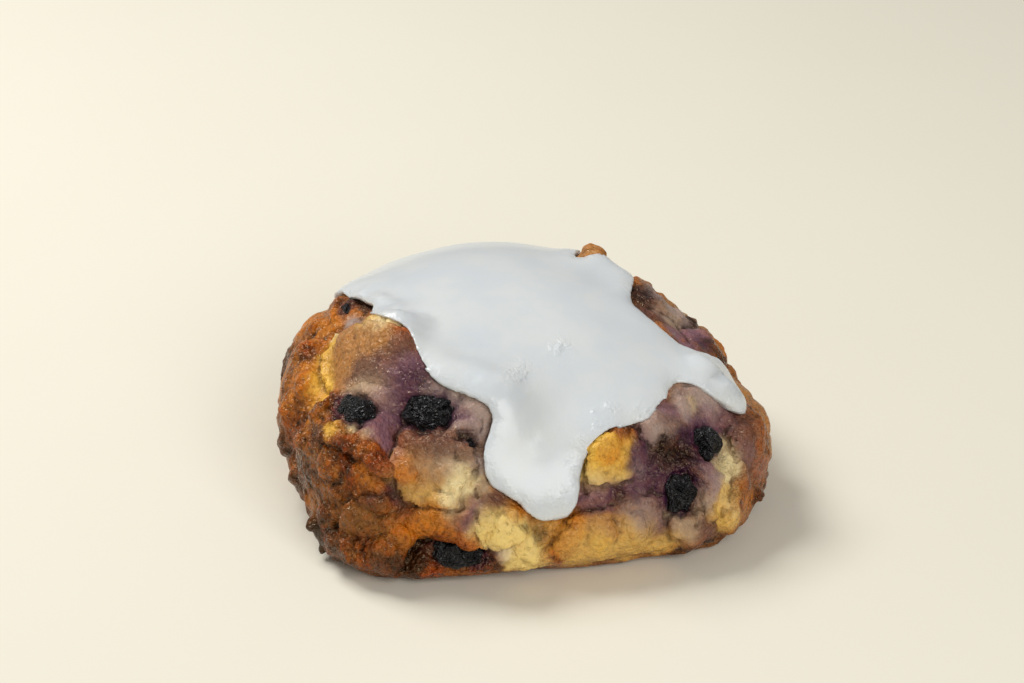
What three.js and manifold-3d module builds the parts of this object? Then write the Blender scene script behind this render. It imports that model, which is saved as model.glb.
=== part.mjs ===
// A glazed cookie: one soft, domed, uneven round of dough with whole dark berries baked into it,
// and a thick white glaze poured over the top that runs down the front and the right side.
// Millimetres, +Z up, the flat underside on Z = 0, the front of the cookie towards -Y.
//
// Places on the crust are given as seen from the heart of the cookie: a bearing, in degrees
// anticlockwise from +X, and a lift, in degrees above the level of the heart.
import * as THREE from "three";
import { ImprovedNoise } from "three/addons/math/ImprovedNoise.js";
import { mergeVertices } from "three/addons/utils/BufferGeometryUtils.js";
import Module from "manifold-3d";

const wasm = await Module();
wasm.setup();

// ---- Driving dimensions of the dough ----
const HEIGHT = 33; // flat underside to the top of the bare dome
const WAIST = 6; // height at which the cookie is widest
const HEART = new THREE.Vector3(0, 0, 11);
const LEAN = { x: -6, y: 2 }; // how far the top sits off the middle of the foot
const DOME_POWER = 2.1; // 2 is an ellipsoid, more is boxier
const FOOT_DEPTH = 42; // half height of the dome below the waist, mostly cut off by the underside
const FOOT_ROUND = 2; // rounding where the crust meets the underside
const GAP = 0.3; // clearance between one piece and the next

// Outline of the waist: bearing, then how far it reaches from the middle.
const WAIST_OUTLINE = [
  [-170, 41],
  [-150, 42.5],
  [-128, 46],
  [-108, 42.5],
  [-88, 39.5],
  [-68, 39.5],
  [-45, 45],
  [-20, 43],
  [0, 38.5],
  [30, 34.5],
  [65, 34],
  [110, 34.5],
  [150, 37],
];

// Lumps of dough that were pressed together: half sizes along the level, up the crust and into it,
// how far each stands proud of the dome, and how far it is turned, in degrees.
const LUMPS = [
  { name: "left shoulder", bearing: -163, lift: 8, wide: 8, tall: 9, deep: 6, proud: 1, turn: 8 },
  { name: "upper left", bearing: -140, lift: 27, wide: 12, tall: 10, deep: 6, proud: 1.8, turn: -20 },
  { name: "lower left", bearing: -131, lift: 6, wide: 12, tall: 9, deep: 5, proud: 1.6, turn: -15 },
  { name: "left foot", bearing: -123, lift: -10, wide: 12, tall: 5, deep: 5, proud: 2, turn: 0 },
  { name: "centre block", bearing: -110, lift: 12, wide: 7.5, tall: 6.5, deep: 5, proud: 1.9, turn: 0 },
  { name: "berry shelf", bearing: -110, lift: 26, wide: 10, tall: 6, deep: 4, proud: 1.4, turn: 10 },
  { name: "front ridge", bearing: -105, lift: 1.5, wide: 11, tall: 3.6, deep: 4, proud: 2.4, turn: -6 },
  { name: "front foot", bearing: -107, lift: -9, wide: 8, tall: 3.4, deep: 4, proud: 1.2, turn: 0 },
  { name: "crumb block", bearing: -96, lift: -1, wide: 3.8, tall: 2.8, deep: 3, proud: 1.6, turn: 0 },
  { name: "crumb ball", bearing: -95, lift: -7.5, wide: 2.2, tall: 2.2, deep: 2.2, proud: 1.4, turn: 0 },
  { name: "lower crumb", bearing: -89.5, lift: -8.5, wide: 3.2, tall: 2.6, deep: 3, proud: 1.2, turn: 0 },
  { name: "right foot", bearing: -67, lift: -6, wide: 12, tall: 5, deep: 5, proud: 1.5, turn: 8 },
  { name: "golden block", bearing: -66, lift: 13, wide: 5, tall: 5.5, deep: 4, proud: 1.7, turn: 20 },
  { name: "stained hump", bearing: -69, lift: 2, wide: 6, tall: 2.6, deep: 3, proud: 1.3, turn: 12 },
  { name: "round knob", bearing: -50.5, lift: 16, wide: 3.6, tall: 3.8, deep: 3.5, proud: 1.5, turn: 0 },
  { name: "corner foot", bearing: -50, lift: -7, wide: 5.5, tall: 4.5, deep: 4, proud: 1.6, turn: 0 },
  { name: "corner knob", bearing: -43.5, lift: 0.5, wide: 4, tall: 4, deep: 3.5, proud: 1.5, turn: 0 },
  { name: "right brow", bearing: -30, lift: 15, wide: 6.5, tall: 6, deep: 4, proud: 1.4, turn: 0 },
  { name: "right lobe", bearing: -27, lift: -1, wide: 6, tall: 8, deep: 6, proud: 1.8, turn: -14 },
  { name: "right flap", bearing: -14, lift: -2, wide: 6, tall: 7, deep: 5, proud: 1.2, turn: -10 },
  { name: "right shoulder", bearing: 2, lift: 10, wide: 6, tall: 6, deep: 5, proud: 1.7, turn: 0 },
  { name: "back right", bearing: 22, lift: 6, wide: 12, tall: 9, deep: 6, proud: 1, turn: 0 },
  { name: "back crest", bearing: 20, lift: 28, wide: 8, tall: 8, deep: 6, proud: 1.5, turn: 0 },
  { name: "back peak", bearing: 50, lift: 44, wide: 3.6, tall: 4, deep: 5, proud: 4.2, turn: 0 },
  { name: "back foot", bearing: 62, lift: -2, wide: 13, tall: 8, deep: 6, proud: 1.6, turn: 0 },
  { name: "back middle", bearing: 100, lift: 10, wide: 11, tall: 9, deep: 6, proud: 1.6, turn: 15 },
  { name: "back left", bearing: 138, lift: 0, wide: 12, tall: 9, deep: 6, proud: 1.4, turn: -10 },
  { name: "left flank", bearing: 172, lift: 4, wide: 10, tall: 10, deep: 6, proud: 1.5, turn: 0 },
  { name: "left peak", bearing: 171, lift: 27, wide: 4, tall: 2.6, deep: 3, proud: 1.3, turn: 0 },
];
const LUMP_BLEND = 2.6; // how softly neighbouring lumps run together
const LUMP_SEAM = 0.5; // how far the dome sits back between them

// Clefts between the lumps: half width, depth, and the places each one runs through.
const CLEFTS = [
  { name: "under the ridge", half: 2.2, deep: 2.4, path: [[-114, -9], [-113, -3.5], [-106, -3.8], [-99, -5]] },
  { name: "middle seam", half: 2, deep: 1.6, path: [[-126, 24], [-123, 17], [-119, 9], [-116, 4.5]] },
  { name: "left crack", half: 1.8, deep: 1.2, path: [[-147, 18], [-157, 22], [-160, 30], [-147, 37]] },
  { name: "flake edge", half: 1.6, deep: 1, path: [[-129, 3], [-119, 7]] },
  { name: "berry hole", half: 2.6, deep: 2.2, path: [[-104, 19], [-103, 13]] },
  { name: "right seam", half: 1.8, deep: 1.4, path: [[-35, 8], [-42, 4], [-47, -3], [-49, -9]] },
  { name: "berry gully", half: 2, deep: 1.5, path: [[-72, 5], [-63, 7], [-57, 1], [-58, -8]] },
  { name: "back seam", half: 2, deep: 1.4, path: [[80, 16], [83, 4], [78, -6]] },
  { name: "far seam", half: 2, deep: 1.3, path: [[120, 22], [121, 8], [118, -4]] },
];

// Crags of the crust, from coarse to fine: how wide, and how deep.
const CRAGS = [
  { across: 7, deep: 0.45 },
  { across: 3.6, deep: 0.3 },
];

// ---- Directions from the heart ----
const { degToRad, radToDeg, clamp, smoothstep } = THREE.MathUtils;

const towards = (bearing, lift) => {
  const level = Math.cos(degToRad(lift));
  return new THREE.Vector3(
    level * Math.cos(degToRad(bearing)),
    level * Math.sin(degToRad(bearing)),
    Math.sin(degToRad(lift)),
  );
};

// ---- Fields: negative inside, and near enough the distance outside ----
const softMin = (a, b, blend) => {
  const share = Math.max(blend - Math.abs(a - b), 0) / blend;
  return Math.min(a, b) - (share * share * blend) / 4;
};
const softMax = (a, b, blend) => -softMin(-a, -b, blend);

// Smooth closed curve through an outline's reaches.
const FULL_TURN = 360;
const outlineReach = (outline, bearing) => {
  const first = outline[0][0];
  const angle = first + THREE.MathUtils.euclideanModulo(bearing - first, FULL_TURN);
  const knot = (i) => {
    const laps = Math.floor(i / outline.length);
    const [at, reach] = outline[i - laps * outline.length];
    return [at + laps * FULL_TURN, reach];
  };
  let i = 0;
  while (knot(i + 1)[0] <= angle) i += 1;
  const [[a0, r0], [a1, r1], [a2, r2], [a3, r3]] = [knot(i - 1), knot(i), knot(i + 1), knot(i + 2)];
  const span = a2 - a1;
  const t = (angle - a1) / span;
  const leave = ((r2 - r0) / (a2 - a0)) * span;
  const arrive = ((r3 - r1) / (a3 - a1)) * span;
  return (
    r1 + t * (leave + t * (3 * (r2 - r1) - 2 * leave - arrive + t * (2 * (r1 - r2) + leave + arrive)))
  );
};

const domeField = (p) => {
  const half = p.z > WAIST ? HEIGHT - WAIST : FOOT_DEPTH;
  const up = (p.z - WAIST) / half;
  const rise = clamp(up, 0, 1);
  const x = p.x - LEAN.x * rise;
  const y = p.y - LEAN.y * rise;
  const reach = outlineReach(WAIST_OUTLINE, radToDeg(Math.atan2(y, x)));
  const out = Math.hypot(x, y) / reach;
  const near = (out ** DOME_POWER + Math.abs(up) ** DOME_POWER) ** (1 / DOME_POWER);
  const slope = Math.hypot(out / reach, up / half) / Math.hypot(out, up);
  return (near - 1) / slope;
};

// Distance from the heart to the outermost skin of a field, along a direction.
const OUTSIDE = 70; // further out than any crust
const CLOSE_ENOUGH = 0.005;
const MOST_STEPS = 80;
const CAUTION = 0.8; // each step falls short of the skin, because the field is only near the distance
const skinReach = (direction, field) => {
  let reach = OUTSIDE;
  const spot = new THREE.Vector3();
  for (let step = 0; step < MOST_STEPS; step += 1) {
    const gap = field(spot.copy(HEART).addScaledVector(direction, reach));
    if (gap < CLOSE_ENOUGH) break;
    reach -= gap * CAUTION;
  }
  return reach;
};
const onSkin = (direction, field) => HEART.clone().addScaledVector(direction, skinReach(direction, field));

// An ellipsoid laid flat against a skin, standing proud of it.
const laid = ({ bearing, lift, wide, tall, deep, proud, turn }, field) => {
  const out = towards(bearing, lift);
  const along = towards(bearing + 90, 0).applyAxisAngle(out, degToRad(turn));
  const up = out.clone().cross(along);
  const middle = HEART.clone().addScaledVector(out, skinReach(out, field) + proud - deep);
  return { middle, axes: [along, up, out], halves: [wide, tall, deep] };
};

const ellipsoidField = (p, { middle, axes, halves }) => {
  const away = p.clone().sub(middle);
  const parts = axes.map((axis, i) => away.dot(axis) / halves[i]);
  const near = Math.hypot(...parts);
  const slope = Math.hypot(...parts.map((part, i) => part / halves[i]));
  return (near * (near - 1)) / slope;
};

const laidLumps = LUMPS.map((lump) => laid(lump, domeField));
const lumpyField = (p, blend = LUMP_BLEND) => {
  let joined = domeField(p) + LUMP_SEAM;
  for (const lump of laidLumps) joined = softMin(joined, ellipsoidField(p, lump), blend);
  return joined;
};

const laidClefts = CLEFTS.map(({ half, deep, path }) => ({
  half,
  deep,
  spots: path.map(([bearing, lift]) => onSkin(towards(bearing, lift), lumpyField)),
}));
const distanceToPath = (p, spots) => {
  let nearest = Infinity;
  const line = new THREE.Line3();
  const foot = new THREE.Vector3();
  for (let i = 0; i + 1 < spots.length; i += 1) {
    line.set(spots[i], spots[i + 1]).closestPointToPoint(p, true, foot);
    nearest = Math.min(nearest, foot.distanceTo(p));
  }
  return nearest;
};

const noise = new ImprovedNoise();
const doughField = (p) => {
  let joined = lumpyField(p);
  for (const { half, deep, spots } of laidClefts) {
    joined += deep * Math.exp(-((distanceToPath(p, spots) / half) ** 2));
  }
  for (const { across, deep } of CRAGS) {
    joined += deep * noise.noise(p.x / across, p.y / across, p.z / across);
  }
  return softMax(joined, -p.z, FOOT_ROUND);
};

// ---- Glaze ----
const GLAZE_MIDDLE = 1.3; // thickness away from the rim
const GLAZE_RIM = 1.8; // thickness of the swollen rim
const GLAZE_EDGE = 0.9; // height of the rim's outer face
const RIM_IN = 2.2; // from the edge to the top of the swelling
const RIM_WIDTH = 7; // from the edge to where the swelling has died away

// Edge of the glaze, anticlockwise seen from above: bearing, then lift.
const GLAZE_OUTLINE = [
  [-178, 35.5],
  [-164, 37.5],
  [-152, 39.5],
  [-140, 41.5],
  [-134, 41],
  [-128.5, 37],
  [-122, 33.5],
  [-117, 31],
  [-111, 29.5],
  [-105, 29],
  [-99.5, 26.5],
  [-99, 22],
  [-100.5, 17.5],
  [-99.5, 12],
  [-99, 8.5],
  [-97, 6.5],
  [-93, 5.5],
  [-90.5, 3.5],
  [-87.5, -0.5],
  [-84, -1.8],
  [-80.8, -0.5],
  [-78.3, 2],
  [-77, 6],
  [-75.5, 11],
  [-72.5, 17],
  [-69, 19],
  [-63, 19.5],
  [-57, 19.3],
  [-51, 21.8],
  [-46, 22],
  [-42, 23.8],
  [-38.5, 24.8],
  [-36, 22.5],
  [-34, 19],
  [-32, 16.5],
  [-30, 13.8],
  [-28.5, 11.5],
  [-26.5, 10],
  [-22.3, 10.2],
  [-18.2, 11.8],
  [-14.5, 13],
  [-13.5, 15.5],
  [-14, 19],
  [-18.5, 23.5],
  [-19, 28],
  [-17.5, 32],
  [-13.5, 38],
  [-5, 45],
  [4, 46.5],
  [11, 46],
  [18, 44.5],
  [25, 43],
  [32, 42],
  [38, 43.5],
  [43, 47.5],
  [46, 51],
  [52, 55],
  [58, 51],
  [61, 42],
  [65, 31],
  [70, 21],
  [77, 14],
  [84, 20],
  [92, 31],
  [104, 35],
  [116, 29],
  [126, 17],
  [133, 13],
  [140, 18],
  [148, 24],
  [155, 21],
  [162, 21],
  [166, 24],
  [170, 29],
  [175, 32],
];

// Places where the glaze stands thicker: how far around, and how much.
const GLAZE_POOLS = [
  { name: "front drip", bearing: -84, lift: 2, around: 6, extra: 1 },
  { name: "right finger", bearing: -23, lift: 13, around: 5, extra: 0.8 },
  { name: "left rim", bearing: -104, lift: 33, around: 6, extra: 0.4 },
  { name: "back drip", bearing: 77, lift: 19, around: 6, extra: 0.7 },
  { name: "far drip", bearing: 133, lift: 18, around: 6, extra: 0.7 },
];

const GLAZE_BED_BLEND = 4; // the glaze levels itself over the lumps that it covers

// Seen from above the top of the cookie, each direction is a point on a flat map.
const onMap = (direction) => {
  const fromTop = radToDeg(Math.acos(clamp(direction.z, -1, 1)));
  return new THREE.Vector2(direction.x, direction.y).setLength(fromTop);
};
const EDGE_STEPS = 240;
const edgeCurve = new THREE.CatmullRomCurve3(
  GLAZE_OUTLINE.map(([bearing, lift]) => {
    const spot = onMap(towards(bearing, lift));
    return new THREE.Vector3(spot.x, spot.y, 0);
  }),
  true,
);
const edgeDirections = edgeCurve
  .getPoints(EDGE_STEPS)
  .slice(0, -1)
  .map((spot) => towards(radToDeg(Math.atan2(spot.y, spot.x)), 90 - spot.length()));
const edgeOnMap = edgeDirections.map(onMap);
const edgeSpots = edgeDirections.map((direction) => onSkin(direction, lumpyField));
edgeSpots.push(edgeSpots[0]);

const isGlazed = (direction) => {
  const at = onMap(direction);
  let inside = false;
  edgeOnMap.forEach((a, i) => {
    const b = edgeOnMap[(i + 1) % edgeOnMap.length];
    const crossing = a.x + ((at.y - a.y) / (b.y - a.y)) * (b.x - a.x);
    if (a.y > at.y !== b.y > at.y && at.x < crossing) inside = !inside;
  });
  return inside;
};

// Distance along the crust to the glaze's edge, positive under the glaze.
const glazeDepth = (direction) => {
  const away = distanceToPath(onSkin(direction, lumpyField), edgeSpots);
  return isGlazed(direction) ? away : -away;
};

// ---- One net of directions for crust and glaze, drawn to the glaze's edge ----
const NET_DETAIL = 14;
const UPWARD_CROWDING = 0.3; // more of the net goes to the crust than to the flat underside

const WELD = 1e-5;
const net = new THREE.IcosahedronGeometry(1, NET_DETAIL);
net.deleteAttribute("normal");
net.deleteAttribute("uv");
const merged = mergeVertices(net, WELD);
const corners = Array.from(merged.index.array);
const directions = [];
const readDirection = new THREE.Vector3();
for (let i = 0; i < merged.getAttribute("position").count; i += 1) {
  readDirection.fromBufferAttribute(merged.getAttribute("position"), i);
  readDirection.z += UPWARD_CROWDING;
  directions.push(readDirection.clone().normalize());
}

const depths = directions.map(glazeDepth);
for (let i = 0; i < corners.length; i += 1) {
  const a = corners[i];
  const b = corners[i - (i % 3) + ((i + 1) % 3)];
  if (depths[a] * depths[b] < 0) {
    const share = depths[a] / (depths[a] - depths[b]);
    const mover = share < 0.5 ? a : b;
    directions[mover] = directions[a].clone().lerp(directions[b], share).normalize();
    depths[mover] = 0;
  }
}

// ---- Crust ----
const FLAT = 0.05; // whatever ends lower than this lies on the underside
const outFromHeart = (direction, reach) => {
  const spot = HEART.clone().addScaledVector(direction, reach);
  if (spot.z < FLAT) spot.z = 0;
  return spot;
};
const crustReaches = directions.map((direction) => skinReach(direction, doughField));
const crustSpots = directions.map((direction, i) => outFromHeart(direction, crustReaches[i]));

const toSolid = (vertProperties, triVerts) => {
  const vertices = new Float32Array(vertProperties);
  const triangles = new Uint32Array(triVerts);
  return new wasm.Manifold(new wasm.Mesh({ numProp: 3, vertProperties: vertices, triVerts: triangles }));
};
const toGeometry = (solid) => {
  const { vertProperties, triVerts, numProp } = solid.getMesh();
  const geometry = new THREE.BufferGeometry();
  geometry.setAttribute("position", new THREE.BufferAttribute(vertProperties, numProp));
  geometry.setIndex(new THREE.BufferAttribute(triVerts, 1));
  return geometry;
};
const flattened = (spots) => spots.flatMap((spot) => spot.toArray());

// ---- Berries ----
// Where each berry sits in the crust, its half sizes as for the lumps, how far it stands proud, and
// its turn. The last three are on the back, which is finished like the front.
const BERRIES = [
  { bearing: -133.5, lift: 18.5, wide: 3.3, tall: 2.5, deep: 2.4, proud: 0.9, turn: -12 },
  { bearing: -117.5, lift: 22.5, wide: 4.4, tall: 3.1, deep: 2.8, proud: 1.2, turn: 6 },
  { bearing: -104.5, lift: -7, wide: 4.4, tall: 2.4, deep: 2.4, proud: 1.2, turn: 0 },
  { bearing: -41.5, lift: 8, wide: 2.6, tall: 3.4, deep: 2.6, proud: 1.1, turn: 0 },
  { bearing: -52.5, lift: 1, wide: 2.9, tall: 3.8, deep: 2.6, proud: 1, turn: -8 },
  { bearing: -67.5, lift: 4.5, wide: 1.4, tall: 1, deep: 1.2, proud: 0.4, turn: 0 },
  { bearing: -105, lift: 17, wide: 1.5, tall: 2, deep: 2, proud: 0.3, turn: 0 },
  { bearing: 178, lift: 29, wide: 2.6, tall: 1.2, deep: 1.5, proud: 0.5, turn: 10 },
  { bearing: 12, lift: 37, wide: 2, tall: 1.2, deep: 1.4, proud: 0.3, turn: -20 },
  { bearing: 7, lift: 23, wide: 2, tall: 1.1, deep: 1.4, proud: 0.4, turn: -40 },
  { bearing: -122.5, lift: 30.3, wide: 1.6, tall: 1.2, deep: 1.4, proud: 0.25, turn: 0 },
  { bearing: 28, lift: 2, wide: 3.6, tall: 3, deep: 2.6, proud: 1.1, turn: 20 },
  { bearing: 95, lift: 18, wide: 3.8, tall: 3.2, deep: 2.6, proud: 1, turn: -15 },
  { bearing: 148, lift: 8, wide: 3.4, tall: 2.8, deep: 2.4, proud: 1, turn: 30 },
];
const BERRY_DENT = 0.16; // depth of the dents in a shrunken berry, as a share of its size
const BERRY_DENTS_ACROSS = 1.3;
const BIG_BERRY = 2.5;

const berryMaterial = new THREE.MeshStandardMaterial({ color: 0x23232b, roughness: 0.6, metalness: 0 });
const laidBerries = BERRIES.map((berry) => laid(berry, doughField));
const berryBall = (seat, berry, grown) => {
  const ball = new THREE.IcosahedronGeometry(1, seat.halves[0] > BIG_BERRY ? 2 : 1);
  ball.deleteAttribute("normal");
  ball.deleteAttribute("uv");
  const whole = mergeVertices(ball, WELD);
  const spots = whole.getAttribute("position");
  const spot = new THREE.Vector3();
  for (let i = 0; i < spots.count; i += 1) {
    spot.fromBufferAttribute(spots, i).multiplyScalar(BERRY_DENTS_ACROSS);
    const size = 1 + BERRY_DENT * noise.noise(spot.x + berry.bearing, spot.y + berry.lift, spot.z);
    spot.fromBufferAttribute(spots, i).multiplyScalar(size);
    const parts = spot.toArray().map((part, axis) => part * (seat.halves[axis] + grown));
    spot.copy(seat.middle);
    seat.axes.forEach((axis, k) => spot.addScaledVector(axis, parts[k]));
    spots.setXYZ(i, spot.x, spot.y, spot.z);
  }
  return whole;
};

const cookie = new THREE.Group();
const crustMaterial = new THREE.MeshStandardMaterial({ color: 0xa8703c, roughness: 0.8, metalness: 0 });
let crust = toSolid(flattened(crustSpots), corners);
const berries = laidBerries.map((seat, i) => {
  const socket = berryBall(seat, BERRIES[i], GAP);
  crust = crust.subtract(toSolid(socket.getAttribute("position").array, socket.index.array));
  const berry = new THREE.Mesh(berryBall(seat, BERRIES[i], 0), berryMaterial);
  berry.name = `berry_${i + 1}`;
  return berry;
});
const dough = new THREE.Mesh(toGeometry(crust), crustMaterial);
dough.name = "dough";

// ---- Glaze shell on the same net: its own top, an underside just off the crust, and a rim face ----
const glazeThickness = (direction, depth) => {
  const inwards = clamp(depth / RIM_IN, 0, 1);
  const rounding = Math.sqrt(1 - (1 - inwards) ** 2);
  let full = GLAZE_MIDDLE + (GLAZE_RIM - GLAZE_MIDDLE) * (1 - smoothstep(depth, RIM_IN, RIM_WIDTH));
  const at = onSkin(direction, domeField);
  for (const { bearing, lift, around, extra } of GLAZE_POOLS) {
    const away = at.distanceTo(onSkin(towards(bearing, lift), domeField));
    full += extra * Math.exp(-((away / around) ** 2));
  }
  return GLAZE_EDGE + (full - GLAZE_EDGE) * rounding;
};

const glazedCorners = [];
for (let i = 0; i < corners.length; i += 3) {
  const three = corners.slice(i, i + 3);
  const onlyEdge = three.every((corner) => depths[corner] === 0);
  const centre = new THREE.Vector3();
  three.forEach((corner) => centre.add(directions[corner]));
  if (onlyEdge ? isGlazed(centre.normalize()) : three.every((corner) => depths[corner] >= 0)) {
    glazedCorners.push(...three);
  }
}
const glazedPlaces = [...new Set(glazedCorners)];
const placeOf = new Map(glazedPlaces.map((corner, i) => [corner, i]));
const bedField = (p) => lumpyField(p, GLAZE_BED_BLEND);
const glazeTop = glazedPlaces.map((corner) => {
  const direction = directions[corner];
  const thick = glazeThickness(direction, depths[corner]);
  const levelled = skinReach(direction, bedField) + thick;
  const thinnest = crustReaches[corner] + GAP + thick / 2;
  return outFromHeart(direction, Math.max(levelled, thinnest));
});
const glazeUnder = glazedPlaces.map((corner) => {
  return outFromHeart(directions[corner], crustReaches[corner] + GAP);
});
const topCorners = glazedCorners.map((corner) => placeOf.get(corner));
const underCorners = topCorners.map((place) => place + glazeTop.length);
const rimCorners = [];
const edgesSeen = new Set();
for (let i = 0; i < topCorners.length; i += 3) {
  for (let k = 0; k < 3; k += 1) edgesSeen.add(`${topCorners[i + k]} ${topCorners[i + ((k + 1) % 3)]}`);
}
for (const edge of edgesSeen) {
  const [a, b] = edge.split(" ").map(Number);
  if (!edgesSeen.has(`${b} ${a}`)) {
    const [lowA, lowB] = [a + glazeTop.length, b + glazeTop.length];
    rimCorners.push(b, a, lowA, b, lowA, lowB);
  }
}
const underTurned = underCorners.map((_, i) => underCorners[i - (i % 3) + (2 - (i % 3))]);
const shellSpots = flattened([...glazeTop, ...glazeUnder]);
const shell = toSolid(shellSpots, [...topCorners, ...underTurned, ...rimCorners]);
const glaze = new THREE.Mesh(
  toGeometry(shell),
  new THREE.MeshStandardMaterial({ color: 0xdfe3e2, roughness: 0.25, metalness: 0 }),
);
glaze.name = "glaze";

cookie.add(dough, glaze, ...berries);

// The middle of the whole stands over the origin.
const middle = new THREE.Box3().setFromObject(cookie).getCenter(new THREE.Vector3());
cookie.position.set(-middle.x, -middle.y, 0);

export default cookie;
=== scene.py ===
import bpy
import numpy as np
from math import cos, radians, sin
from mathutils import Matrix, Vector
from mathutils.bvhtree import BVHTree
from mathutils.kdtree import KDTree


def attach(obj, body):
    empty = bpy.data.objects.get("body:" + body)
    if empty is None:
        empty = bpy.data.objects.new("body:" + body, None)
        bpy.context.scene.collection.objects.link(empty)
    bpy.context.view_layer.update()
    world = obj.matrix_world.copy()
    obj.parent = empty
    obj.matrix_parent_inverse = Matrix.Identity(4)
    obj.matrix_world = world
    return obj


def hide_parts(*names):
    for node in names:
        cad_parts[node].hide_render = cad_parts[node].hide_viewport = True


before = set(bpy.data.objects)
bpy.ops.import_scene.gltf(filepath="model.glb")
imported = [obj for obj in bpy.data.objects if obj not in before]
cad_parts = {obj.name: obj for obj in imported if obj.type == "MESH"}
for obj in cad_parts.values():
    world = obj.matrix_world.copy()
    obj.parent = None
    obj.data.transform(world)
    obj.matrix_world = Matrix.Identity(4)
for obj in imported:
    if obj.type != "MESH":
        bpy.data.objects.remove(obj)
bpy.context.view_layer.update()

# ---- The crust ----
# One soft mound of dough, pressed together from lumps by hand and baked until its outside browned.
# The left flank and the foot caught the most heat, berry juice stained the middle and the right,
# and the pale crumb shows wherever a lump broke open.
MM = 0.001

# Corners of a CAD node that are closer than this many millimetres are one.
SAME_PLACE = 0.002

# A point in the middle of the mound, in millimetres, from which bearings and lifts are measured, and
# a distance from it that is outside the cookie everywhere.
HEART = np.array([0.114, 3.966, 11.0])
OUTSIDE = 70


def towards(bearing, lift):
    """Unit vector from the heart: bearing from +X, lift above level, in degrees."""
    level = cos(radians(lift))
    return np.array([level * cos(radians(bearing)), level * sin(radians(bearing)), sin(radians(lift))])


def outwards(points):
    """Unit vectors from the heart through each point."""
    away = points - HEART
    return away / np.linalg.norm(away, axis=-1, keepdims=True)


def only(piece):
    """Selects this piece and nothing else."""
    bpy.ops.object.select_all(action="DESELECT")
    piece.select_set(True)
    bpy.context.view_layer.objects.active = piece


def worked(piece, kind, **settings):
    """Puts a modifier on a piece and applies it."""
    only(piece)
    step = piece.modifiers.new(kind.title(), kind)
    for name, value in settings.items():
        setattr(step, name, value)
    bpy.ops.object.modifier_apply(modifier=step.name)


def copied(name, *nodes):
    """A new piece made of copies of CAD nodes, with their loose triangles joined up."""
    bpy.ops.object.select_all(action="DESELECT")
    copies = []
    for node in nodes:
        copy = bpy.data.objects.new(name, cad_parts[node].data.copy())
        bpy.context.collection.objects.link(copy)
        copy.select_set(True)
        copies.append(copy)
    bpy.context.view_layer.objects.active = copies[0]
    if len(copies) > 1:
        bpy.ops.object.join()
    bpy.ops.object.mode_set(mode="EDIT")
    bpy.ops.mesh.select_all(action="SELECT")
    bpy.ops.mesh.remove_doubles(threshold=SAME_PLACE * MM)
    bpy.ops.object.mode_set(mode="OBJECT")
    copies[0].name = name
    copies[0].data.materials.clear()
    return copies[0]


def points_of(piece):
    """Vertices of a piece, in millimetres."""
    flat = np.empty(len(piece.data.vertices) * 3)
    piece.data.vertices.foreach_get("co", flat)
    return flat.reshape(-1, 3) / MM


def normals_of(piece):
    """Directions that the vertices of a piece face."""
    flat = np.empty(len(piece.data.vertices) * 3)
    piece.data.vertex_normals.foreach_get("vector", flat)
    return flat.reshape(-1, 3)


def place_points(piece, points):
    """Moves the vertices of a piece to these places, in millimetres."""
    piece.data.vertices.foreach_set("co", (points * MM).ravel())
    piece.data.update()


def edges_of(piece):
    """The two vertices of each edge of a piece."""
    flat = np.empty(len(piece.data.edges) * 2, np.int64)
    piece.data.edges.foreach_get("vertices", flat)
    return flat.reshape(-1, 2)


def around(edges, values, weight=None):
    """The mean of each vertex's neighbours, one number each, by their weights."""
    weight = np.ones(len(values)) if weight is None else weight + 1e-6
    both = np.concatenate([edges, edges[:, ::-1]])
    total = np.bincount(both[:, 0], values[both[:, 1]] * weight[both[:, 1]], len(values))
    return total / np.bincount(both[:, 0], weight[both[:, 1]], len(values))


def scrambled(cells, seed):
    """Three numbers from 0 to 1 for each whole-number cell, the same in every run."""
    key = (cells[:, 0] * 73856093) ^ (cells[:, 1] * 19349663) ^ (cells[:, 2] * 83492791) ^ (seed * 7919)
    key = (key & 0xFFFFFFFF).astype(np.uint64)
    numbers = []
    for _ in range(3):
        key = ((key ^ (key >> np.uint64(15))) * np.uint64(0x2C1B3C6D)) & np.uint64(0xFFFFFFFF)
        key = ((key ^ (key >> np.uint64(12))) * np.uint64(0x297A2D39)) & np.uint64(0xFFFFFFFF)
        numbers.append(key.astype(float) / 0xFFFFFFFF)
    return np.stack(numbers, axis=1)


def waves(points, size, seed):
    """Smooth noise, about -1 to 1, with lumps of the given size in millimetres."""
    p = points / size
    cell = np.floor(p).astype(np.int64)
    part = p - cell
    fade = part**3 * (part * (part * 6 - 15) + 10)
    total = np.zeros(len(p))
    for corner in np.ndindex(2, 2, 2):
        slope = scrambled(cell + corner, seed) * 2 - 1
        weight = np.prod(np.where(corner, fade, 1 - fade), axis=1)
        total += weight * np.einsum("ij,ij->i", slope, part - corner)
    # Stretched, because the sum alone stays well short of -1 and 1.
    return total * 1.7


def grains(points, size, seed):
    """Distances to the nearest and second nearest of scattered grains, in grain sizes."""
    p = points / size
    cell = np.floor(p).astype(np.int64)
    near = np.full(len(p), 9.0)
    second = np.full(len(p), 9.0)
    for step in np.ndindex(3, 3, 3):
        at = cell + step - 1
        away = np.linalg.norm(at + scrambled(at, seed) - p, axis=1)
        second = np.minimum(second, np.maximum(near, away))
        near = np.minimum(near, away)
    return near, second


def domes(near, reach=0.8):
    """Rounded tops on grains: 1 at the middle of each, 0 from its reach on."""
    return np.clip(1 - (near / reach) ** 2, 0, 1)


def ease(low, high, value):
    """0 below low, 1 above high, smooth between."""
    t = np.clip((value - low) / (high - low), 0, 1)
    return t * t * (3 - 2 * t)


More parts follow.
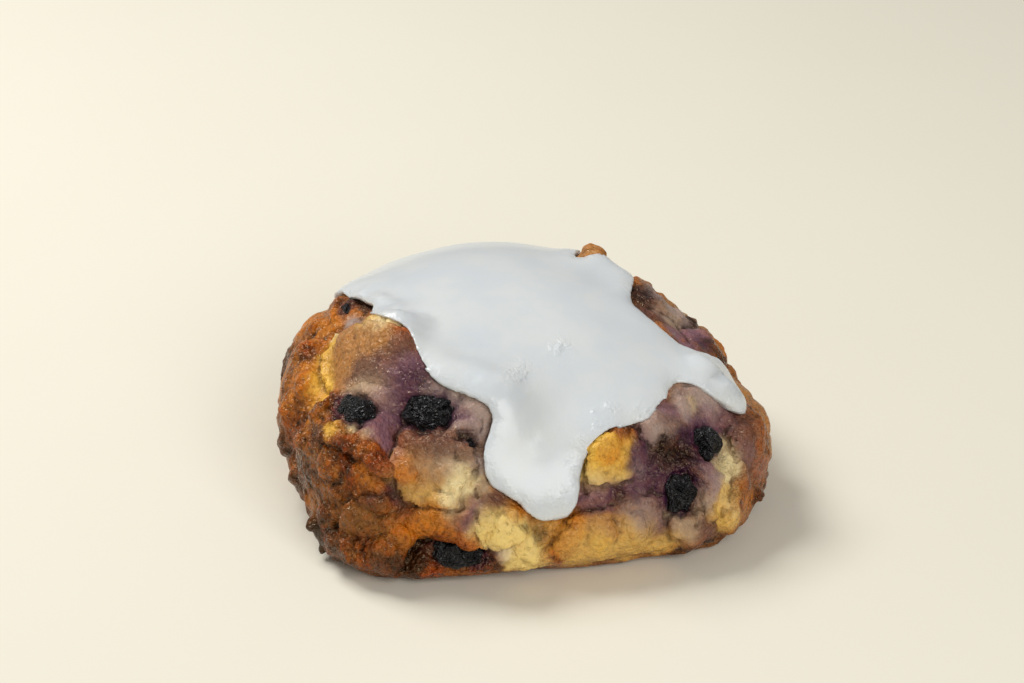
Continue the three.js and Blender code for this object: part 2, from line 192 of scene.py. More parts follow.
def off_path(points, path):
    """The shortest way from a run of straight stretches to each point, and how long it is."""
    way = np.zeros((len(points), 3))
    length = np.full(len(points), 1e9)
    for a, b in zip(path, path[1:]):
        along = np.clip((points - a) @ (b - a) / ((b - a) @ (b - a)), 0, 1)
        step = points - a - along[:, None] * (b - a)
        far = np.linalg.norm(step, axis=1)
        closer = far < length
        way[closer] = step[closer]
        length[closer] = far[closer]
    return way, length


BERRIES = [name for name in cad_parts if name.startswith("berry")]

# The dough with its berries gets one smooth skin, on which places on the crust are found. With its
# small lumps on, it gets a finer one. Each has a grain, in millimetres, and rounds of smoothing.
CORE_GRAIN = 0.9
CORE_ROUNDS = 10
SKIN_GRAIN = 0.455
SKIN_ROUNDS = 4
crust = copied("crust", "dough", *BERRIES)
worked(crust, "REMESH", mode="VOXEL", voxel_size=CORE_GRAIN * MM)
worked(crust, "SMOOTH", factor=0.5, iterations=CORE_ROUNDS)
crust_tree = BVHTree.FromObject(crust, bpy.context.evaluated_depsgraph_get())


def on_crust(bearing, lift):
    """Where the ray from the heart leaves the smooth crust, in millimetres."""
    out = towards(bearing, lift)
    far = Vector((HEART + out * OUTSIDE) * MM)
    return np.array(crust_tree.ray_cast(far, Vector(-out))[0]) / MM


# Small lumps on the crust: bearing, lift, half width, half height, how far each stands proud, and how
# far it is turned anticlockwise, in degrees and millimetres. These places, and those of PATCHES and
# LEDGES below, were picked by eye in the photograph, and another script turned most of them from
# pixels into bearings and lifts.
LUMPS = [
    # Left flank
    (-159, 8, 2.6, 3.6, 1.4, 0), (-160.5, -1, 2.2, 3.1, 1.2, 0), (-152.5, -4, 2.9, 3.1, 1.4, 0),
    (-142.5, -5, 2.6, 2.4, 1.4, 0), (-143, 9, 2.4, 2.4, 1, 0), (-142.5, 14.5, 2.4, 2.6, 1, 0),
    (-157.5, 15, 2.4, 2.9, 1.2, 0), (-167.5, 18, 2.2, 2.6, 1.2, 0),
    (178.5, 19.5, 2.4, 2.2, 1.2, 0), (179.5, 26.5, 2.7, 1.5, 0.7, 0), (-133.5, 8, 2.9, 2.6, 1, 0),
    (-130.5, 3.5, 2.6, 2.6, 1, 0), (-132.5, -2.5, 2.2, 2.4, 1.4, 0),
    (-128, -6.5, 3.1, 2.4, 1.4, 0),
    # Smooth brown plate and the flakes round it
    (-125.5, -1, 4.3, 3.1, 1.2, -8), (-121.5, 4, 2.5, 1.5, 0.5, 0), (-125, 13, 4.2, 1.4, 0.7, -24),
    (-131, 14.5, 3.7, 1.4, 0.8, -28), (-118.5, -7, 2.5, 3.3, 1.1, 0), (-117, -4, 1.9, 2.7, 0.9, 0),
    (-123, -8, 2.5, 1.3, 0.8, 0), (-122.5, 7, 2.5, 1.4, 0.5, 0),
    # Front block
    (-115, 13.5, 3.5, 3.8, 1.1, 0), (-108, 9.5, 3.3, 3.5, 1, 0), (-105.5, 15, 2.3, 2.9, 1, 0),
    (-117.5, 10, 1.7, 3.1, 0.8, 0), (-108.5, 5.5, 2.9, 1.2, 0.8, 0),
    # Front ridge
    (-112.5, 0.5, 2.9, 2.1, 1, 10), (-107, -0.5, 3.3, 2.1, 1, 0), (-102, -0.5, 2.1, 2.1, 0.9, 0),
    (-115.5, -4, 1.5, 2.1, 0.8, 0), (-110, -9, 3.7, 1.4, 0.5, 0), (-100, -9.5, 2.1, 1.3, 0.6, 0),
    # Broken crumb below the tongue of glaze
    (-98.5, 3, 1.9, 1.9, 0.8, 0), (-95, -0.5, 2.1, 2.1, 0.9, 0), (-93, 2, 1.5, 1.5, 0.6, 0),
    (-95.5, -6.5, 1.4, 1.3, 1, 0), (-91.5, -5.5, 1.7, 1.6, 0.9, 0), (-88, -8, 1.7, 1.4, 0.9, 0),
    (-86.5, -5, 1.7, 1.2, 0.5, 0), (-90.5, -10.5, 2.1, 1, 0.7, 0),
    # Right foot
    (-79, -5, 3.7, 3.1, 0.9, 14), (-72, -5, 3.5, 3.3, 0.9, 10), (-65, -4.5, 3.1, 3.5, 0.9, 8),
    (-60.5, -2.5, 1.9, 2.7, 0.7, 0), (-58, -10.5, 1.5, 1.4, 0.6, 0),
    (-53.5, -4.5, 3.1, 2.7, 0.9, 6), (-49, -3.5, 1.7, 2.3, 0.7, 0), (-72, 3, 3.7, 1.7, 0.8, 8),
    (-65.5, 1.5, 2.5, 1.6, 0.7, 0), (-60.5, 0, 1.9, 1.8, 0.6, 0),
    # Golden block
    (-69, 15, 3.1, 3.5, 1.1, 20), (-64.5, 10, 2.3, 2.9, 0.8, 10), (-72, 8, 1.7, 1.5, 0.6, 0),
    # Bulge under the glaze, and the dough beside it
    (-54, 17, 3.1, 3.1, 1, 0), (-60, 11.5, 2.5, 3.1, 0.6, 0), (-59.5, 5, 2.7, 2.3, 0.6, 0),
    (-39.5, 18, 2.7, 1.7, 0.6, 0), (-36.5, 13, 1.9, 2.1, 0.6, 0),
    # Right lobes
    (-47.5, 2.5, 2.7, 3.7, 1, 0), (-50.5, -1, 2.1, 1.5, 0.7, 0), (-32, 9.5, 1.7, 2.7, 0.8, 0),
    (-32, 3.5, 2.1, 4.4, 0.9, -12), (-28, 4.5, 1.5, 3.8, 0.8, -10), (-36.5, -2, 1.9, 3.7, 0.9, 10),
    (-43, -4.5, 1.5, 1.6, 0.8, 0),
    # Big left plate
    (-138.5, 27.5, 7.5, 6.3, 0.6, 0), (-151.5, 28.5, 4.2, 2.5, 0.5, -12),
    (-134, 36, 2.7, 3.1, 0.5, 0), (-133.5, 22, 3.8, 2.5, 0.6, 0),
    # Under the left edge of the glaze
    (-115, 30, 3.3, 1.3, 0.5, 16), (-106, 25.5, 2.5, 2.1, 0.8, 0), (-106, 21, 2.1, 1.2, 0.5, 0),
    # Streak at the top right
    (14.5, 34, 2.7, 1.3, 0.5, 30), (12.5, 24.5, 2.7, 1.2, 0.5, 38), (5, 19, 2.1, 1.1, 0.5, 40),
    # Crumbs that stuck to the foot
    (-137, -6.5, 1.1, 1.1, 1.8, 0), (-135, -11.5, 1, 0.9, 1.6, 0),
    (-129.5, -10.5, 1.2, 0.7, 0.9, 0), (-31, -6.5, 0.8, 0.7, 1.1, 0),
    (-47.5, -8, 0.9, 0.7, 0.9, 0),
    # Torn dough between the right-hand berries
    (-56, 10.5, 1.1, 1, 0.7, 0), (-54, 8.5, 0.9, 1, 0.7, 0), (-52, 11.5, 1.2, 0.9, 0.7, 0),
    (-50.5, 8, 1, 0.9, 0.6, 0), (-57.5, 7.5, 0.8, 0.9, 0.6, 0), (-50, 4, 0.9, 1.1, 0.7, 0),
    (-57, 3.5, 1, 1.3, 0.8, 0), (-56, 6, 1.1, 0.8, 0.7, 0),
    # Right side of the front block
    (-103.5, 12.5, 1.1, 2, 0.8, 8), (-101.5, 8.5, 0.9, 1.7, 0.8, -8),
    (-105.5, 7.5, 1.2, 2.1, 0.8, 0),
    # Lump that stands over the back edge of the glaze
    (50, 47, 3, 1.4, 0.8, 0),
]
bpy.ops.mesh.primitive_ico_sphere_add(subdivisions=3, radius=1)
ball = bpy.context.object
ball_points = np.array([v.co for v in ball.data.vertices])
ball_faces = np.array([tuple(face.vertices) for face in ball.data.polygons])
bpy.data.objects.remove(ball)
lump_points = []
lump_faces = []
for bearing, lift, wide, tall, proud, turn in LUMPS:
    out = towards(bearing, lift)
    level = towards(bearing + 90, 0)
    up = np.cross(out, level)
    along = level * cos(radians(turn)) + up * sin(radians(turn))
    up = np.cross(out, along)
    # Its depth goes by the smaller of its width and height, and it is sunk until it stands as proud
    # as its row says.
    deep = 0.75 * min(wide, tall) + 0.4
    middle = on_crust(bearing, lift) + out * (proud - deep)
    turned = ball_points @ np.array([along * wide, up * tall, out * deep])
    lump_faces.append(ball_faces + len(ball_points) * len(lump_points))
    lump_points.append(turned + middle)
lumps_mesh = bpy.data.meshes.new("lumps")
lumps_mesh.from_pydata(np.concatenate(lump_points) * MM, [], np.concatenate(lump_faces).tolist())
lumps = bpy.data.objects.new("lumps", lumps_mesh)
bpy.context.collection.objects.link(lumps)
only(crust)
lumps.select_set(True)
bpy.ops.object.join()
worked(crust, "REMESH", mode="VOXEL", voxel_size=SKIN_GRAIN * MM)
worked(crust, "SMOOTH", factor=0.5, iterations=SKIN_ROUNDS)

# What the crust looks like in a patch: its colour, its shine, and how far it is bare crumb.
TONES = {
    "amber": ("C67614", 0.5, 0.0),
    "caramel": ("A8641C", 0.8, 0.0),
    "rust": ("A04A08", 0.9, 0.0),
    "umber": ("683A18", 0.9, 0.0),
    "cocoa": ("80501E", 0.6, 0.0),
    # This dark tone is burnt crust, and in recesses and crevices it is painted shade.
    "char_and_shade": ("2A140A", 0.6, 0.0),
    "honey": ("F8C652", 0.3, 0.35),
    "straw": ("D6AC5C", 0.2, 0.5),
    "biscuit": ("B47E46", 0.35, 0.0),
    "beige": ("B49A7C", 0.1, 0.1),
    "cream": ("FAE6AE", 0.0, 1.0),
    "butter": ("F0D282", 0.0, 1.0),
    "dusk": ("6A463E", 0.35, 0.0),
    "mauve": ("AA968E", 0.1, 0.1),
    "plum": ("86606C", 0.2, 0.0),
    "violet": ("40193E", 0.3, 0.0),
    "pulp": ("301C20", 0.8, 0.0),
}


def linear(shade):
    """Six hex digits of screen colour as three amounts of light."""
    screen = [int(shade[i : i + 2], 16) / 255 for i in (0, 2, 4)]
    return np.array([c / 12.92 if c < 0.04045 else ((c + 0.055) / 1.055) ** 2.4 for c in screen])


# Where each of them shows: bearing, lift and half width of its patches, round from the left flank by
# the front and the right to the back.
PATCHES = {
    "amber": [
        (160, 2, 2.6), (173, 19, 2.3), (176, 17, 2.3), (179, 27, 1.6), (-178, 24, 2.2),
        (-177, 30, 1.7), (-170, 10, 2.0), (-168, 22, 2.0), (-164, 14, 2.0), (-160, 19, 1.7),
        (-157, 14, 2.2), (-152, 15, 1.4), (-147, 12, 1.7), (-125, 10, 1.2), (-122, 8, 1.7),
        (-121, 15, 1.7), (-118, 10, 1.6), (-116, -3, 1.4), (-115, 1, 2.5), (-114, 9, 1.4),
        (-112, 3, 1.7), (-108, 1, 2.2), (-102, -4, 1.2), (-101, -10, 1.4), (-93, 3, 1.2),
        (-83, -6, 1.4), (-82, -3, 1.4), (-79, -1, 1.4), (-79, -4, 2.0), (-69, 14, 1.3),
        (-66, 12, 0.7), (-64, 16, 1.4), (-43, -3, 0.8), (-36, -4, 1.4), (-30, 37, 0.6),
        (45, 12, 2.2), (100, 6, 2.4),
    ],
    "caramel": [
        (173, 24, 2.3), (-179, 16, 2.6), (-167, 16, 2.3), (-162, 11, 2.3), (-162, 4, 2.3),
        (-155, 11, 2.9), (-144, 9, 2.3), (-140, 16, 2.3), (-138, 8, 1.7), (-136, 0, 1.7),
        (-133, 9, 2.0), (-132, 15, 1.7), (-132, 4, 1.7), (-129, 2, 1.7), (-126, 14, 1.7),
        (-124, 7, 1.7), (-124, -7, 1.7), (-119, -3, 1.7), (-118, -5, 1.7), (-105, -11, 1.7),
        (-64, 19, 1.3), (-38, -1, 1.7), (-30, -1, 2.3), (-27, 4, 2.7), (-25, 8, 2.3),
        (-20, 8, 1.7), (40, -2, 2.6), (85, 30, 2.2),
    ],
    "rust": [
        (-166, 21, 1.7), (-157, 15, 1.1), (-153, 6, 2.3), (-141, 19, 1.4), (-136, 40, 1.6),
        (-131, -8, 1.2), (-129, 14, 1.6), (-129, 11, 2.0), (-126, 7, 1.7), (-123, 12, 1.8),
        (-122, -5, 1.7), (-109, -7, 1.4), (-109, -10, 1.7), (-106, -2, 1.6), (-103, -4, 1.4),
        (-101, -10, 1.4), (-84, -9, 1.4), (-51, 12, 0.6), (-41, -3, 1.2), (-29, 5, 1.2),
        (-7, 26, 0.6),
    ],
    "umber": [
        (168, 11, 2.2), (171, 2, 2.4), (176, 8, 2.2), (-178, 12, 2.2), (-172, 5, 2.2),
        (-166, 14, 1.5), (-165, -3, 2.2), (-158, 0, 2.2), (-150, -8, 2.3), (-149, 8, 2.0),
        (-146, 0, 2.2), (-141, 5, 2.3), (-138, 12, 1.7), (-138, 4, 2.0), (-133, 0, 2.0),
        (-131, 12, 1.4), (-130, -5, 1.7), (-128, 4, 1.7), (-127, -6, 1.7), (-120, -7, 2.3),
        (-116, -8, 2.3), (-98, -8, 1.7), (-39, 16, 0.9), (-32, -6, 1.2), (-3, 13, 1.2),
        (-2, 17, 1.2), (125, -4, 2.6),
    ],
    "cocoa": [(-126, -1, 2.3), (-124, 1, 3.0), (-120, 2, 2.3), (-120, -1, 2.3)],
    # Burnt nubs and bits, and painted shade in recesses and crevices.
    "char_and_shade": [
        (-170, 23, 0.9), (-136, -7, 1.7), (-136, -12, 1.6), (-128, -10, 1.4), (-116, -7, 1.4),
        (-114, -9, 1.7), (-112, -7, 2.3), (-108, 7, 0.6), (-108, -4, 1.7), (-106, 19, 0.9),
        (-102, 13, 0.7), (-90, -1, 0.7), (-86, -4, 1.1), (-75, 10, 0.7), (-57, 3, 0.9),
        (-55, 8, 0.9), (-51, 0, 0.9), (-50, 3, 0.9), (-48, -9, 0.9), (0, 20, 0.9),
    ],
    "honey": [
        (-162, 24, 1.0), (-160, 22, 1.4), (-156, 20, 1.8), (-152, 17, 2.0), (-149, 16, 1.6),
        (-145, 17, 1.0), (-134, 15, 1.1), (-121, 13, 1.0), (-119, 9, 0.8), (-117, 7, 1.0),
        (-73, 12, 1.5), (-73, -5, 1.2), (-71, 10, 1.3), (-70, 16, 1.6), (-66, 11, 1.5),
        (-64, 14, 1.2), (-46, -4, 1.3), (62, 2, 1.8), (112, 3, 2.3), (150, -3, 1.8),
    ],
    "straw": [
        (-153, 38, 1.4), (-120, 10, 1.2), (-115, 7, 1.2), (-113, 6, 1.4), (-111, 8, 1.7),
        (-82, -4, 1.9), (-78, -5, 2.2), (-77, -8, 2.3), (-73, 10, 1.3), (-73, -5, 2.3),
        (-73, -10, 1.7), (-71, -8, 1.7), (-69, 9, 1.4), (-67, -3, 2.0), (-66, -8, 2.3),
        (-63, -6, 1.7), (-62, -3, 1.4), (-59, -9, 1.4), (-56, -6, 1.2), (-45, -3, 1.6),
        (-45, -4, 1.8), (-43, -1, 1.9), (33, 9, 1.8), (58, 4, 1.4), (108, 1, 1.6), (116, 5, 1.8),
    ],
    "biscuit": [
        (-157, 23, 2.3), (-156, 31, 1.7), (-148, 23, 2.0), (-147, 28, 2.3), (-146, 36, 1.7),
        (-143, 33, 2.3), (-142, 21, 1.7), (-138, 37, 2.3), (-115, 13, 1.8), (-111, 10, 1.8),
        (-104, 5, 1.4), (-75, -1, 1.2), (-72, -2, 1.7), (-69, -2, 1.7), (7, 35, 1.4),
        (25, 26, 1.4), (50, 49, 1.9),
    ],
    "beige": [
        (-138, 23, 1.7), (-133, 25, 2.5), (-126, 16, 0.9), (-112, 11, 2.0), (-107, 14, 2.1),
        (-100, 8, 0.9), (-55, -4, 1.8), (-53, -3, 1.8), (-49, 0, 1.4), (5, 29, 1.4), (52, 9, 2.2),
        (135, 14, 2.0),
    ],
    "cream": [
        (-164, 26, 0.8), (-151, 38, 0.9), (-146, 40, 1.9), (-139, 41, 0.9), (-131, 17, 0.8),
        (-107, 8, 1.3), (-106, 6, 1.4), (-105, 11, 1.7), (-104, 8, 1.7), (-94, -6, 0.8),
        (-57, -2, 0.9), (-44, -3, 1.4), (-41, 2, 1.7), (-39, 18, 1.0), (-38, 4, 1.6),
        (-36, 7, 1.1),
    ],
    "butter": [
        (-98, 2, 1.7), (-96, -2, 1.7), (-95, 2, 1.7), (-93, 0, 1.7), (-91, -1, 1.2),
        (-91, -8, 1.4), (-90, -5, 1.7), (-89, -8, 1.7), (-88, -6, 1.7), (-86, -10, 1.2),
        (-75, 13, 1.1), (-75, 9, 1.5), (-72, 18, 1.2), (-72, 7, 1.5), (-66, 8, 1.2), (114, 4, 1.3),
    ],
    "dusk": [
        (-142, 24, 1.5), (-141, 28, 1.7), (-136, 28, 1.7), (-134, 32, 2.1), (-133, 35, 1.7),
        (-131, 37, 1.4), (-118, 17, 1.7), (-116, 20, 1.2), (-113, 17, 2.3), (-109, 17, 1.7),
        (-106, 16, 1.8), (-105, 4, 1.2), (-98, 4, 1.4), (-97, -4, 1.2), (-96, 5, 1.2),
        (-74, 2, 1.2), (-67, 2, 1.4), (-65, 18, 1.0), (-64, 0, 1.2), (-63, 1, 1.7), (-61, -3, 2.2),
        (-59, 0, 1.7), (-57, -5, 1.2), (-55, 20, 1.4), (-53, -2, 1.3), (-51, 18, 1.4),
        (-50, -5, 1.6), (-39, 19, 1.3), (-36, -1, 2.2), (-32, 3, 2.3), (-31, 11, 2.3),
        (-31, 6, 2.9), (-28, 9, 2.0), (-7, 20, 1.2), (-1, 38, 1.4), (0, 33, 1.2), (82, 6, 2.4),
        (128, 20, 2.2), (138, 2, 2.4),
    ],
    "mauve": [
        (-171, 30, 1.2), (-120, 28, 1.7), (-116, 30, 1.7), (-111, 28, 1.7), (-107, 28, 1.7),
        (-104, 26, 1.8), (-104, 22, 2.3), (-101, 13, 1.2), (-95, -5, 1.2), (-66, 1, 1.1),
        (-64, -2, 1.5), (-63, 1, 1.4), (-63, 0, 1.8), (-61, 9, 1.2), (-60, -2, 1.4),
        (-56, 15, 1.4), (-54, 18, 2.3), (-47, 3, 2.2), (-41, 17, 2.0), (-37, 18, 1.7),
        (-34, 16, 1.7), (5, 35, 1.2), (7, 31, 1.8), (9, 23, 1.4), (13, 30, 1.4), (14, 36, 1.5),
        (16, 25, 1.2), (22, 8, 1.8), (78, 11, 2.0), (142, 8, 2.0),
    ],
    "plum": [
        (-131, 30, 1.7), (-129, 32, 2.3), (-129, 24, 2.7), (-127, 22, 2.3), (-126, 18, 2.4),
        (-124, 16, 2.0), (-122, 14, 1.7), (-120, 11, 1.2), (-118, 8, 0.9), (-107, 24, 1.4),
        (-102, 4, 1.7), (-75, 4, 1.7), (-71, 5, 1.7), (-64, 6, 1.4), (-62, 4, 1.7), (-60, -3, 1.8),
        (-59, 10, 1.5), (-58, 3, 1.7), (-48, 20, 1.4), (-48, 4, 2.4), (-41, 14, 1.8),
        (-38, 16, 1.6), (-36, 10, 1.6), (-33, 12, 1.9), (-32, 4, 1.9), (-30, -1, 1.6),
        (-9, 25, 1.4), (-5, 28, 1.4), (2, 22, 1.7), (34, 2, 1.8), (68, 14, 2.3), (73, 8, 2.0),
        (103, 18, 1.8),
    ],
    "violet": [
        (-137, 21, 0.7), (-137, 17, 0.8), (-131, 20, 0.8), (-126, 29, 2.4), (-126, 28, 3.1),
        (-125, 20, 1.9), (-124, 24, 1.9), (-122, 30, 1.5), (-122, 15, 1.6), (-122, 5, 1.2),
        (-121, 11, 1.2), (-120, 9, 1.1), (-118, 6, 1.9), (-116, 20, 1.2), (-115, 4, 2.0),
        (-110, 25, 1.2), (-102, 3, 0.9), (-73, 2, 0.9), (-69, 4, 1.2), (-64, 5, 1.3),
        (-62, 11, 1.6), (-60, 13, 1.5), (-60, 7, 2.6), (-59, 14, 2.0), (-59, 5, 1.4),
        (-58, 9, 1.2), (-58, 7, 2.0), (-57, 5, 1.2), (-57, 1, 1.2), (-56, 2, 1.5), (-49, 13, 1.4),
        (-47, 7, 1.2), (-46, 13, 1.3), (-34, 9, 1.4), (-3, 20, 1.2), (70, 12, 1.6), (88, 16, 1.8),
        (154, 8, 1.6),
    ],
    "pulp": [
        (177, 32, 1.1), (180, 30, 1.2), (-178, 33, 1.1), (-122, 30, 1.2), (-103, 18, 0.9),
        (-67, 4, 0.7), (-58, 7, 1.5), (-56, 4, 1.4), (-55, 11, 2.2), (-54, 12, 1.5), (-52, 9, 1.5),
        (-52, 1, 1.8), (-51, 10, 2.3), (-50, 5, 2.0), (-49, 9, 1.7), (-47, 12, 1.2), (9, 39, 2.1),
        (12, 21, 1.2),
    ],
}
points = points_of(crust)
normals = normals_of(crust)
broad_waves = np.stack([waves(points, 3.2, seed) for seed in (1, 2, 3)], axis=1)
fine_waves = np.stack([waves(points, 1.1, seed) for seed in (4, 5, 6)], axis=1)


def frayed(broad, fine=0):
    """The crust's points pushed about by waves this high, so that what follows them is uneven."""
    return points + broad_waves * broad + fine_waves * fine


# Away from the patches these mix: how much there is of each, how unevenly, the size of its blotches
# in millimetres, and the seed of its noise. The foot is darker.
GROUND = {
    "biscuit": (0.5, 0.8, 11, 7),
    "caramel": (0.5, 0.8, 9, 8),
    "amber": (0.25, 0.8, 6, 9),
    "dusk": (0.1, 0.9, 8, 10),
    "umber": (0.1, 0.5, 5, 18),
    "straw": (-0.1, 0.9, 5, 19),
    "violet": (-0.2, 1.1, 10, 22),
    "mauve": (-0.15, 1.0, 7, 30),
}
FOOT_DARKENING = 1.1
GROUND_WEIGHT = 0.03

looks = {name: np.array([*linear(shade), shine, bare]) for name, (shade, shine, bare) in TONES.items()}
look = np.zeros((len(points), 5))
weight = np.zeros(len(points))
for name, (level, swing, size, seed) in GROUND.items():
    share = level + swing * waves(points, size, seed)
    if name == "umber":
        share += FOOT_DARKENING * ease(9, 2, points[:, 2])
    share = np.clip(share, 0, 1) ** 2 + 0.01
    look += share[:, None] * looks[name]
    weight += share
look *= GROUND_WEIGHT / weight[:, None]
weight = np.full(len(points), GROUND_WEIGHT)
strayed = frayed(0.9, 0.4)
for name, places in PATCHES.items():
    for bearing, lift, half in places:
        away = ((strayed - on_crust(bearing, lift)) ** 2).sum(axis=1)
        close = away < (4 * half) ** 2
        share = np.exp(-away[close] / half**2)
        weight[close] += share
        look[close] += share[:, None] * looks[name]
look /= weight[:, None]
tone, shine, crumb = look[:, :3], look[:, 3], look[:, 4]
patched = ease(0.05, 0.4, weight)

# Edges of the flakes and plates that stand over their neighbours: height, how far the raised side
# runs before it levels out, and the places along the edge. Seen from outside, the raised side is to
# the right of the way along.
LEDGES = [
    # Top of the big left plate
    (1.0, 4, [(-133.5, 16.5), (-141, 18), (-150.5, 17.5), (-157, 19.5), (-161, 22),
     (-164, 26.5), (-162, 31), (-152.5, 35.5), (-146, 38.5), (-141.5, 40),
     (-137.5, 40), (-134.5, 41.5)]),
    # Flake over the left flank
    (1.1, 3.5, [(-120, 10.5), (-122.5, 11.5), (-125, 12.5), (-128.5, 13), (-132, 13),
     (-135.5, 12.5)]),
    # Front block, left side
    (1.1, 5, [(-114, 5), (-116.5, 6), (-118, 8.5), (-120, 11.5), (-121.5, 13.5), (-122, 16)]),
    # Front block, top
    (0.6, 4, [(-122, 16), (-117, 18.5), (-111, 18.5), (-106.5, 18.5), (-103, 17)]),
    # Front block, right side
    (0.8, 2, [(-103, 17), (-102, 15), (-102, 13.5)]),
    # Front ridge, upper edge
    (0.9, 3, [(-119, 1.5), (-116.5, 2.5), (-113.5, 3.5), (-110, 4), (-106, 4),
     (-102.5, 4), (-100, 2.5)]),
    # Front ridge, lower edge
    (1.5, 3.5, [(-100.5, -4.5), (-104, -4), (-108, -4.5), (-111, -3.5), (-113, -4),
     (-115, -5.5), (-115.5, -7), (-115.5, -9.5)]),
    # Crumb cube, lower edge
    (1.0, 2.5, [(-91.5, -2.5), (-93.5, -3.5), (-96.5, -3.5), (-100, -4.5)]),
    # Crumb cube, sides
    (0.8, 2.5, [(-100, -4), (-100, 1.5), (-99.5, 3.5), (-95.5, 3), (-92, 2),
     (-91.5, -0.5)]),
    # Right foot, upper edge
    (0.9, 3.5, [(-85, -7), (-83, -5), (-80.5, -1.5), (-78, 0.5), (-74.5, 1),
     (-71, 1.5), (-67, 2.5), (-62.5, 2.5), (-58, 2)]),
    # Lobe by the right foot
    (0.8, 3, [(-56.5, -4), (-55, -2), (-53, -1), (-51, -2), (-48.5, -5),
     (-47.5, -8.5)]),
    # Golden block, left side and top
    (1.0, 3, [(-74.5, 6.5), (-75, 9), (-73.5, 13), (-71, 17), (-68, 19),
     (-63, 19.5), (-60, 17.5)]),
    # Golden block, lower edge
    (0.7, 2.5, [(-63.5, 6.5), (-68, 6), (-71, 6), (-74.5, 6.5)]),
    # Bulge under the glaze
    (0.8, 3, [(-50, 13), (-53.5, 12), (-56.5, 13), (-58.5, 15.5)]),
    # Right lobe, left edge
    (1.0, 4, [(-45.5, -5.5), (-42.5, -2.5), (-39.5, 0), (-36.5, 2.5), (-35, 5.5),
     (-33, 9)]),
    # Mauve lobe, right edge
    (0.8, 3, [(-38.5, 7), (-40.5, 4.5), (-43, 2.5), (-46, -1), (-47.5, -3.5)]),
    # Plate over the hole
    (0.8, 3, [(-102.5, 22), (-102.5, 20), (-104.5, 19.5), (-106.5, 20.5), (-107.5, 19.5)]),
    # Smooth brown plate
    (0.8, 4, [(-126.5, -6), (-128, -3.5), (-127.5, 0), (-126.5, 3), (-122.5, 5),
     (-119.5, 5)]),
    # Bottom flakes
    (0.7, 3, [(-116.5, -13), (-121.5, -12.5), (-124, -10), (-129.5, -10.5), (-135.5, -12)]),
    # Upper left crust
    (0.8, 3, [(-174, 18.5), (-170.5, 22), (-166, 24.5), (-166, 26.5), (-168.5, 28.5)]),
    # Top right streak
    (0.6, 2.5, [(-9.5, 21.5), (-2.5, 23.5), (6.5, 26.5), (5.5, 32.5), (4.5, 38.5)]),
]


def ledge(points, outward, height, fade, path):
    """How far the crust rises on one side of an edge and sinks beside it, in millimetres."""
    nearest = np.full(len(points), 1e9)
    side = np.zeros(len(points))
    past = np.zeros(len(points))
    for i, (a, b) in enumerate(zip(path, path[1:])):
        run = (b - a) / np.linalg.norm(b - a)
        free = (points - a) @ run
        along = np.clip(free, 0, np.linalg.norm(b - a))
        gap = points - a - along[:, None] * run
        far = np.linalg.norm(gap, axis=1)
        right = np.cross(run, outward)
        better = far < nearest
        nearest[better] = far[better]
        side[better] = (np.sign((gap * right).sum(axis=1)) * far)[better]
        past[better] = np.abs(free - along)[better] if i in (0, len(path) - 2) else 0
    # Past its ends the edge dies away, and its lower side is a narrow, shallow groove.
    end = np.exp(-((past / 1.5) ** 2))
    up = ease(-0.25, 0.35, side) * np.exp(-np.clip(side, 0, None) / fade)
    down = 0.3 * ease(0.2, -0.25, side) * np.exp(-((side / 1.1) ** 2))
    return height * end * (up - down)


outward = outwards(points)
torn = frayed(0.35, 0.45)
steps = np.zeros(len(points))
for height, fade, places in LEDGES:
    path = [on_crust(*place) for place in places]
    close = off_path(points, path)[1] < 3 * fade + 2
    steps[close] += ledge(torn[close], outward[close], height, fade, path)

# Creases: half width, depth and the places that each one runs through.
CREASES = [
    (0.7, 0.9, [(-124, 20), (-121.5, 14), (-120.5, 11), (-119.5, 8), (-118, 5), (-114, 3.5)]),
    (0.4, 0.6, [(-131, 13), (-127, 11.5), (-121, 10.5)]),
    (0.4, 0.6, [(-128, -2.5), (-122, -3.5)]),
    (1.0, 1.2, [(-115, -9), (-114, -4), (-109, -3.5), (-104, -4.6), (-99, -5.5)]),
    (0.5, 1.0, [(-58, -2), (-56.5, -7), (-58.5, -11)]),
    (0.4, 0.8, [(-51, -0.5), (-46, -2.5)]),
    (0.35, 1.0, [(-65.5, 1), (-66, -1.5), (-65, -4)]),
    (0.35, 1.0, [(-69.5, -0.5), (-69, -3), (-70, -6)]),
    (0.6, 1.0, [(-76, 14), (-77, 8), (-75, 5)]),
    (0.6, 1.4, [(-104, 19.5), (-102, 16)]),
    (0.5, 1.4, [(-103.5, 14), (-102, 11), (-104, 8)]),
    (0.35, 1.2, [(-105, 13.5), (-104.5, 10), (-104, 5.5)]),
    (0.4, 1.2, [(-101.5, 9.5), (-100.5, 6.5)]),
    (0.5, 0.9, [(-53, 14), (-57, 15), (-60, 18)]),
    (0.4, 0.8, [(12, 41), (17, 36), (24, 31)]),
    (0.4, 0.8, [(4, 26), (9, 21), (11, 15)]),
]
crease = np.zeros(len(points))
for half, deep, places in CREASES:
    path = [on_crust(*place) for place in places]
    near = off_path(frayed(0.7, 0.25), path)[1]
    crease = np.maximum(crease, deep * np.exp(-((near / half) ** 1.3)))

# The rest of the relief, in millimetres. Between the patches the dough shows the lumps it was pressed
# together from, and everywhere it has swells and dents of three sizes.
PRESSED_LUMP = 7.5
SWELLS = [(0.3, 4.2, 12), (0.14, 2.0, 13), (0.1, 1.0, 14)]
near, second = grains(frayed(0.8), PRESSED_LUMP, 11)
pressed = (ease(0.0, 0.36, second - near) - 0.8) * (0.5 + 0.5 * ease(-0.3, 0.3, waves(points, 15, 25)))
relief = pressed * (1.0 - 0.85 * patched) + 0.1
for high, size, seed in SWELLS:
    relief += high * waves(points, size, seed)

